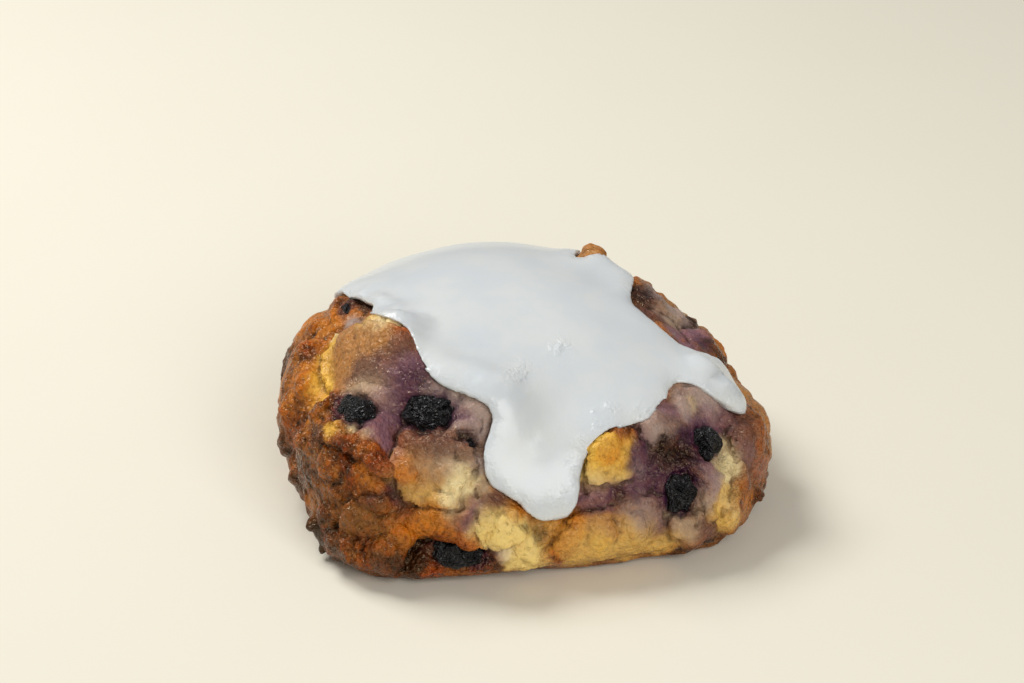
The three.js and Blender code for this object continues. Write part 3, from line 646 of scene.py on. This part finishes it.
# Where it browned and shines it is pebbled, with gaps between the pebbles, and puckered.
PEBBLE = 1.3
PEBBLE_HEIGHT = 0.28
near = grains(frayed(0.4, 0.25), PEBBLE, 15)[0]
pebbly = ease(0.5, 0.85, shine + 0.3 * waves(points, 5, 20))
pebbles = domes(near) * (0.5 + 0.5 * ease(-0.4, 0.4, waves(points, 1.6, 26)))
relief += PEBBLE_HEIGHT * pebbly * (pebbles - 0.35)
# Where the gaps between the pebbles are; the crust's colour darkens them with painted shade.
gaps = pebbly * (1 - pebbles) ** 2
puckers = np.abs(waves(frayed(0.5), 3.4, 28)) * 1.3 - 0.35
puckers += 0.5 * np.abs(waves(frayed(0, 0.3), 1.7, 29)) - 0.15
relief += (0.15 + 0.35 * pebbly) * puckers * (1 - 0.7 * crumb)

# Where it broke open it is all clumps, with crumbs on them.
CLUMP = 1.6
CRUMB = 0.8
near, second = grains(frayed(0, 0.4), CLUMP, 16)
clumps = 0.4 * domes(near) - 0.3 * ease(0.2, 0.0, second - near) + 0.25 * waves(points, 1.2, 27)
clumps += 0.16 * domes(grains(frayed(0, 0.2), CRUMB, 17)[0])
relief += ease(0.15, 0.7, crumb) * (0.75 * clumps - 0.15 + 0.25 * waves(points, 2.6, 23))

# Each berry lies in a dent with a low lip, and its juice stained the dough round it. A scrap of berry
# dents and stains it less than a whole one, of this radius in millimetres.
WHOLE_BERRY = 3.4
BERRY_DENT = 1.1
BERRY_LIP = 0.2
JUICE_REACH = 1.1


def radii(away, shape):
    """How far from a berry's middle each point is, in its radii that way: 1 on its skin."""
    return np.sqrt(np.einsum("ij,jk,ik->i", away, shape, away))


crater = np.zeros(len(points))
juice = np.zeros(len(points))
for name in BERRIES:
    skin = np.unique(points_of(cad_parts[name]).round(3), axis=0)
    middle = skin.mean(axis=0)
    out = outwards(middle)
    shape = np.linalg.inv(3 * np.cov((skin - middle).T))
    size = np.sqrt(1 / np.linalg.eigvalsh(shape).min())
    full = min(1, size / WHOLE_BERRY) ** 2
    away = frayed(0.2, 0.3) - middle
    close = np.linalg.norm(away, axis=1) < 12
    reach = radii(away[close] - np.outer(away[close] @ out, out), shape)
    lip = BERRY_LIP * ease(1.15, 1.35, reach) * ease(1.9, 1.4, reach)
    crater[close] = np.maximum(crater[close], BERRY_DENT * full * ease(1.2, 0.88, reach) - lip)
    gap = np.clip(radii(strayed[close] - middle, shape) * size - size, 0, None)
    juice[close] = np.maximum(juice[close], full * np.exp(-((gap / JUICE_REACH) ** 1.4)))
tone += (np.clip(juice, 0, 1) * 0.85)[:, None] * (looks["violet"][:3] - tone)

# The foot is drawn in a little, and the underside is flat.
foot = ease(5, 0, points[:, 2])
raised = (relief + steps) * (1 - 0.5 * foot) - 0.7 * foot - crease - crater
raised *= 1 - ease(-0.6, -0.95, normals[:, 2])
moved = points + normals * raised[:, None]
moved[:, 2] = np.maximum(moved[:, 2], 0)

# Under the glaze the crust stays this far below the inner side of the poured sheet. All of the glaze
# is higher up than this.
GLAZE_BED = 0.15
BELOW_GLAZE = 6
glaze_tree = BVHTree.FromObject(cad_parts["glaze"], bpy.context.evaluated_depsgraph_get())
heart_at = Vector(HEART * MM)
reaches = np.linalg.norm(moved - HEART, axis=1)
for i in np.nonzero(moved[:, 2] > BELOW_GLAZE)[0]:
    out = (moved[i] - HEART) / reaches[i]
    hit = glaze_tree.ray_cast(heart_at, Vector(out))
    if hit[0] is not None:
        under = hit[3] / MM - GLAZE_BED
        if reaches[i] > under:
            moved[i] = HEART + out * under
place_points(crust, moved)

# How hollow the finished crust is at each vertex: 0 where it stands proud, 1 in a crack. By it the
# crust's colour gets painted shade in the hollows and painted light where it stands proud.
edges = edges_of(crust)
normals = normals_of(crust)
sunk = sum((around(edges, moved[:, i]) - moved[:, i]) * normals[:, i] for i in range(3))
for _ in range(2):
    sunk = 0.4 * sunk + 0.6 * around(edges, sunk)
hollow = 0.5 + 0.5 * np.clip(sunk / 0.06, -1, 1)


def mark(piece, name, values):
    """Keeps a number from 0 to 1 at each vertex, for the piece's material."""
    kept = piece.data.attributes.new(name, "FLOAT", "POINT")
    kept.data.foreach_set("value", np.clip(values, 0, 1).astype(np.float32))


marks = {"shine": shine, "crumb": crumb, "juice": juice, "hollow": hollow, "gaps": gaps}
for name, values in marks.items():
    mark(crust, name, values)
tones = crust.data.color_attributes.new("tone", "FLOAT_COLOR", "POINT")
tones.data.foreach_set("color", np.insert(tone, 3, 1, axis=1).astype(np.float32).ravel())
only(crust)
bpy.ops.object.shade_smooth()


class Wire:
    """An output of a material node, or the node tree alone, that sums can be written with."""

    def __init__(self, tree, socket=None):
        self.tree = tree
        self.socket = socket

    def fill(self, node, sockets):
        """Gives sockets of a node their values, or joins wires to them."""
        for name, value in sockets.items():
            if isinstance(value, Wire):
                self.tree.links.new(value.socket, node.inputs[name])
            else:
                node.inputs[name].default_value = value

    def node(self, kind, sockets=None, out=0, **settings):
        """Adds a node: its settings first, then the values or wires of its sockets."""
        made = self.tree.nodes.new(kind)
        for name, value in settings.items():
            setattr(made, name, value)
        self.fill(made, sockets or {})
        return Wire(self.tree, made.outputs[out])

    def _math(self, operation, *values):
        return self.node("ShaderNodeMath", dict(enumerate(values)), operation=operation)

    def __add__(self, other):
        return self._math("ADD", self, other)

    def __sub__(self, other):
        return self._math("SUBTRACT", self, other)

    def __rsub__(self, other):
        return self._math("SUBTRACT", other, self)

    def __mul__(self, other):
        return self._math("MULTIPLY", self, other)

    __radd__ = __add__
    __rmul__ = __mul__

    def rise(self, low, high):
        """0 below low, 1 above high, smooth between."""
        limits = {"Value": self, "From Min": low, "From Max": high}
        return self.node("ShaderNodeMapRange", limits, interpolation_type="SMOOTHSTEP")

    def blend(self, first, second, kind="MIX"):
        """Mixes two colours by this factor."""
        sockets = {0: self, 6: tint(first), 7: tint(second)}
        return self.node("ShaderNodeMix", sockets, out=2, data_type="RGBA", blend_type=kind)


def tint(shade):
    """A colour for a socket, from a wire or from six hex digits of screen colour."""
    return shade if isinstance(shade, Wire) else (*linear(shade), 1)


def finish(name):
    """A new material: itself, a wire on its tree, and the place on the piece in millimetres."""
    material = bpy.data.materials.new(name)
    material.use_nodes = True
    start = Wire(material.node_tree)
    place = start.node("ShaderNodeTexCoord", out=3)
    place = start.node("ShaderNodeVectorMath", {0: place, "Scale": 1 / MM}, operation="SCALE")
    return material, start, place


def dress(start, sockets):
    """Gives the shader of a material its values and wires."""
    start.fill(start.tree.nodes["Principled BSDF"], sockets)


def cloud(place, size, detail=3, rough=0.55, **more):
    """Soft noise from 0 to 1 with blotches of the given size in millimetres."""
    sockets = {"Vector": place, "Scale": 1 / size, "Detail": detail, "Roughness": rough, **more}
    return place.node("ShaderNodeTexNoise", sockets)


crust_skin, start, place = finish("baked crust")
marked = {name: start.node("ShaderNodeAttribute", out=2, attribute_name=name) for name in marks}
tone = start.node("ShaderNodeAttribute", attribute_name="tone")

# Toasted crust is blotched and speckled, and painted shade darkens the gaps between its pebbles.
toasted = 0.1 + marked["shine"]
patchy = cloud(place, 1.7, 2, 0.6)
speckle = cloud(place, 0.7, 1)
tone = (patchy.rise(0.5, 0.66) * 0.6 * toasted).blend(tone, "A87C50", "MULTIPLY")
tone = (patchy.rise(0.5, 0.36) * 0.45 * toasted).blend(tone, "F0C080", "SOFT_LIGHT")
tone = (speckle.rise(0.5, 0.64) * marked["shine"] * 0.6).blend(tone, "845C38", "MULTIPLY")
tone = (speckle.rise(0.46, 0.34) * 0.45 * toasted).blend(tone, "E0B070", "SOFT_LIGHT")
tone = (marked["gaps"] * 0.85).blend(tone, "5E3A22", "MULTIPLY")

# Juice runs in veins, and bare crumb is a little uneven.
veins = cloud(place, 1.2, 2, 0.6, Distortion=1.2)
tone = (marked["juice"] * veins.rise(0.48, 0.6) * 0.6).blend(tone, "3A1B36")
tone = (marked["crumb"] * cloud(place, 0.9, 1).rise(0.5, 0.62) * 0.15).blend(tone, "D0A458")

# Painted shade darkens the hollows, and painted light lightens what stands proud.
shaded = marked["hollow"].rise(0.55, 1.0) * (0.65 - marked["crumb"] * 0.4)
tone = shaded.blend(tone, "563620", "MULTIPLY")
lit_proud = marked["hollow"].rise(0.45, 0.1) * toasted * 0.35
tone = lit_proud.blend(tone, "D09850", "SOFT_LIGHT")

# The crumb has small pores of uneven outline, because the place they are read at wanders. Painted
# shade darkens each pore.
wander = start.node("ShaderNodeTexNoise", {"Vector": place, "Scale": 1.3, "Detail": 1}, out=1)
torn_place = start.node("ShaderNodeVectorMath", {0: place, 1: wander}, operation="ADD")
pores = start.node("ShaderNodeTexVoronoi", {"Vector": torn_place, "Scale": 1.3}).rise(0.5, 0.12)
pores = pores * cloud(place, 1.6, 1).rise(0.46, 0.6) * marked["crumb"]
tone = (pores * 0.12).blend(tone, "A88448", "MULTIPLY")

# Grit all over, and beads of baked sugar where it shines.
bead = start.node("ShaderNodeTexVoronoi", {"Vector": place, "Scale": 1.1}, voronoi_dimensions="3D")
bead = 1 - bead * bead
height = cloud(place, 0.55, 1) * (0.14 + marked["shine"] * 0.5) + cloud(place, 1.0, 1) * 0.22
height = height + bead * (marked["shine"] * 0.5 + 0.05) - pores * 0.15
dress(start, {
    "Base Color": tone,
    "Roughness": 0.56 - marked["shine"] * 0.3 - speckle.rise(0.52, 0.62) * 0.2,
    "Specular IOR Level": 0.55,
    "Specular Tint": (1.0, 0.74, 0.46, 1),
    "Subsurface Weight": 0.06,
    "Subsurface Radius": (1.0, 0.5, 0.25),
    "Subsurface Scale": 1.0 * MM,
    "Normal": start.node("ShaderNodeBump", {"Height": height, "Strength": 1.0, "Distance": 1.0 * MM}),
})
crust.data.materials.append(crust_skin)
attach(crust, "root")
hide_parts("dough")

# ---- The glaze ----
# Thick white sugar glaze, poured warm over the top. It ran down the front and the right side and
# set with a swollen, rounded rim.
glaze = copied("icing", "glaze")
worked(glaze, "SUBSURF", levels=2, render_levels=2)

# Its upper side levelled itself while it ran: in this many rounds its distances from the heart even
# out. Then it is smoothed all over.
LEVELLING_ROUNDS = 60
GLAZE_ROUNDS = 14
points = points_of(glaze)
out = outwards(points)
facing = (normals_of(glaze) * out).sum(axis=1)
upper = ease(0.25, 0.6, facing)
edges = edges_of(glaze)
reach = np.linalg.norm(points - HEART, axis=1)
for _ in range(LEVELLING_ROUNDS):
    reach += 0.6 * upper * (around(edges, reach, upper) - reach)
place_points(glaze, HEART + out * reach[:, None])
worked(glaze, "SMOOTH", factor=0.5, iterations=GLAZE_ROUNDS)

# It swells a little all over, and most in a roll beside its rim. In millimetres: how far in each
# vertex is from the rim, and how far it swells.
points = points_of(glaze)
normals = normals_of(glaze)
facing = (normals * out).sum(axis=1)
rim = KDTree(len(points))
for i in np.nonzero(np.abs(facing) < 0.3)[0]:
    rim.insert(points[i], i)
rim.balance()
inward = np.array([rim.find(point)[2] for point in points])
top = ease(-0.2, 0.5, facing)
swell = 0.22 + 0.06 * np.exp(-(((inward - 1.6) / 1.2) ** 2)) + 0.05 * waves(points, 9, 21)

# Where bubbles and undissolved sugar roughen it: half width, then bearing and lift.
SUGAR = [
    (2.2, -93, 37), (2.0, -72, 46), (1.6, -70, 22), (1.4, -75, 17), (1.4, -77, 12), (1.4, -64, 24),
    (1.3, -56, 22), (1.8, -82, 5),
]
sugary = np.zeros(len(points))
for half, bearing, lift in SUGAR:
    spot = (towards(bearing, lift) * out).sum(axis=1)
    off = np.arccos(np.clip(spot, -1, 1)) * reach
    sugary = np.maximum(sugary, np.exp(-((off / half) ** 2)))

# Where it pooled thicker, like a cord laid under its skin: half width, swelling, and its route.
POOLS = [
    (2.4, 1.5, [(-27, 24), (-29, 20), (-28, 16), (-27.5, 13.5)]),
    (1.8, 0.7, [(178, 34), (-172, 38), (-160, 42), (-148, 43)]),
]
for half, thick, places in POOLS:
    path = [on_crust(*place) + towards(*place) * 0.5 for place in places]
    way, length = off_path(points, path)
    points += way * (thick * np.exp(-((length / half) ** 2)) / (length + 0.1))[:, None]

# Where its edge drew back or ran on: bearing, lift, half width, and how far it moved up the side.
DRAWN = [(-170, 37, 2.4, 1.4), (174, 30, 1.8, -0.8)]
for bearing, lift, half, rise in DRAWN:
    spot = on_crust(bearing, lift)
    uphill = np.cross(towards(bearing, lift), towards(bearing + 90, 0))
    share = np.exp(-(((points - spot) ** 2).sum(axis=1) / half**2))
    points += share[:, None] * rise * uphill

# Bubbles stand up where it is sugary, and its lower side is pressed into the crust.
BUBBLE = 0.9
BUBBLE_HEIGHT = 0.16
PRESSED_IN = 0.75
bubbles = domes(grains(points, BUBBLE, 24)[0], 0.55)
points += normals * (top * (swell + BUBBLE_HEIGHT * bubbles * ease(0.3, 0.8, sugary)))[:, None]
points -= out * (PRESSED_IN * (1 - top))[:, None]
place_points(glaze, points)
mark(glaze, "sugary", np.maximum(sugary, 0.4 * ease(2.5, 0.5, inward)))
only(glaze)
bpy.ops.object.shade_smooth()

glaze_skin, start, place = finish("sugar glaze")
soft = cloud(place, 9)
sugar = start.node("ShaderNodeAttribute", out=2, attribute_name="sugary")
sugar = sugar * cloud(place, 2.2, 2).rise(0.4, 0.6)
height = cloud(place, 0.5, 1) * (sugar + 0.04)
dress(start, {
    "Base Color": soft.rise(0.3, 0.7).blend("D3D8DB", "DADDDB"),
    "Roughness": 0.3 + sugar * 0.1 + (soft - 0.5) * 0.1,
    "Subsurface Weight": 0.35,
    "Subsurface Radius": (1.0, 0.95, 0.85),
    "Subsurface Scale": 2.0 * MM,
    "Coat Weight": 0.25,
    "Coat Roughness": 0.12,
    "Normal": start.node("ShaderNodeBump", {"Height": height, "Strength": 0.8, "Distance": 0.4 * MM}),
})
glaze.data.materials.append(glaze_skin)
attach(glaze, "root")
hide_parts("glaze")

# ---- The berries ----
# Whole blueberries, and scraps of them, that shrank and wrinkled in the oven, nearly black, sunk to
# their shoulders in the dough.
berry_skin, start, place = finish("wrinkled berry skin")
bloom = cloud(place, 1.4, 2, 0.6)
tone = bloom.rise(0.35, 0.75).blend("08080A", "16161B")
tone = (cloud(place, 2.6).rise(0.58, 0.72) * 0.5).blend(tone, "1A0D1B")
wrinkle = (cloud(place, 1.1, 1, 0.5, Distortion=0.6) - 0.5) * 2
fine = (cloud(place, 0.6, 1, 0.5, Distortion=0.4) - 0.5) * 2
wrinkle = start.node("ShaderNodeMath", {0: wrinkle}, operation="ABSOLUTE")
fine = start.node("ShaderNodeMath", {0: fine}, operation="ABSOLUTE")
bump = {"Height": wrinkle * 1.2 + fine * 0.5, "Strength": 1.0, "Distance": 1.4 * MM}
dress(start, {
    "Base Color": tone,
    "Roughness": 0.36 + (bloom - 0.5) * 0.4,
    "Specular IOR Level": 0.55,
    "Normal": start.node("ShaderNodeBump", bump, invert=True),
})

# A berry of this half thickness or more wrinkles fully. A scrap reaches less far than this from its
# middle: its height is cut by this share, and it is sunk by this much. Lengths are in millimetres.
FULL_WRINKLES = 2.2
SCRAP = 3.0
SCRAP_FLATTENING = 0.35
SCRAP_SINKING = 0.8
for name in BERRIES:
    berry = copied(name.replace("berry", "blueberry"), name)
    worked(berry, "SUBSURF", levels=3, render_levels=3)
    points = points_of(berry)
    folds = 1 - np.abs(waves(points + 0.4 * waves(points, 1.5, 31)[:, None], 1.3, 32)) * 2.2
    folds += 0.5 * (1 - np.abs(waves(points, 0.7, 33)) * 2)
    swell = 0.24 * folds + 0.8 * waves(points, 2.3, 34) + 0.3 * waves(points, 1.2, 35) - 0.12
    middle = points.mean(axis=0)
    out = outwards(middle)
    thin = np.sqrt(3 * np.linalg.eigvalsh(np.cov((points - middle).T))[0])
    points += normals_of(berry) * (swell * min(1, thin / FULL_WRINKLES))[:, None]
    if np.abs(points - middle).max() < SCRAP:
        level = np.cross((0, 0, 1), out)
        upward = np.cross(out, level / np.linalg.norm(level))
        points -= np.outer((points - middle) @ upward, SCRAP_FLATTENING * upward) + SCRAP_SINKING * out
    place_points(berry, points)
    only(berry)
    bpy.ops.object.shade_smooth()
    berry.data.materials.append(berry_skin)
    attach(berry, "root")
    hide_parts(name)

# ---- Floor, light and camera ----
# A plain pale floor, a soft studio lamp above on the left and behind, a broad fill lamp in front on
# the right, and the camera at the photograph's viewing angle.
bpy.ops.mesh.primitive_plane_add(size=4)
floor = bpy.context.object
floor.name = "floor"
floor_skin, start, place = finish("pale floor")
dress(start, {"Base Color": cloud(place, 60, 2).blend("EFE9D8", "ECE6D4"), "Roughness": 0.9})
floor.data.materials.append(floor_skin)

world = bpy.data.worlds.new("studio")
bpy.context.scene.world = world
world.use_nodes = True
sky = world.node_tree.nodes["Background"]
sky.inputs["Color"].default_value = (1.0, 0.98, 0.95, 1)
sky.inputs["Strength"].default_value = 0.24

# Where each lamp stands and how wide it is, in metres, and its power in watts.
LAMPS = {
    "key light": ((-0.34, 0.2, 0.55), 0.3, 3.3),
    "fill light": ((0.25, -0.55, 0.42), 0.4, 2.5),
}
AIM = Vector((0, 0, 0.01))
for name, (at, size, power) in LAMPS.items():
    lamp = bpy.data.lights.new(name, "AREA")
    lamp.size = size
    lamp.energy = power
    light = bpy.data.objects.new(name, lamp)
    light.location = at
    light.rotation_euler = (AIM - Vector(at)).to_track_quat("-Z", "Y").to_euler()
    bpy.context.collection.objects.link(light)

# The camera's focal length and place in millimetres, and how many degrees it looks down.
FOCAL = 85
CAMERA_AT = np.array([-1.95, -350.75, 214.33])
LOOKING_DOWN = 28.5
lens = bpy.data.cameras.new("camera")
lens.lens = FOCAL
camera = bpy.data.objects.new("camera", lens)
camera.location = CAMERA_AT * MM
camera.rotation_euler = (radians(90 - LOOKING_DOWN), 0, 0)
bpy.context.collection.objects.link(camera)
bpy.context.scene.camera = camera
bpy.context.scene.view_settings.view_transform = "Standard"
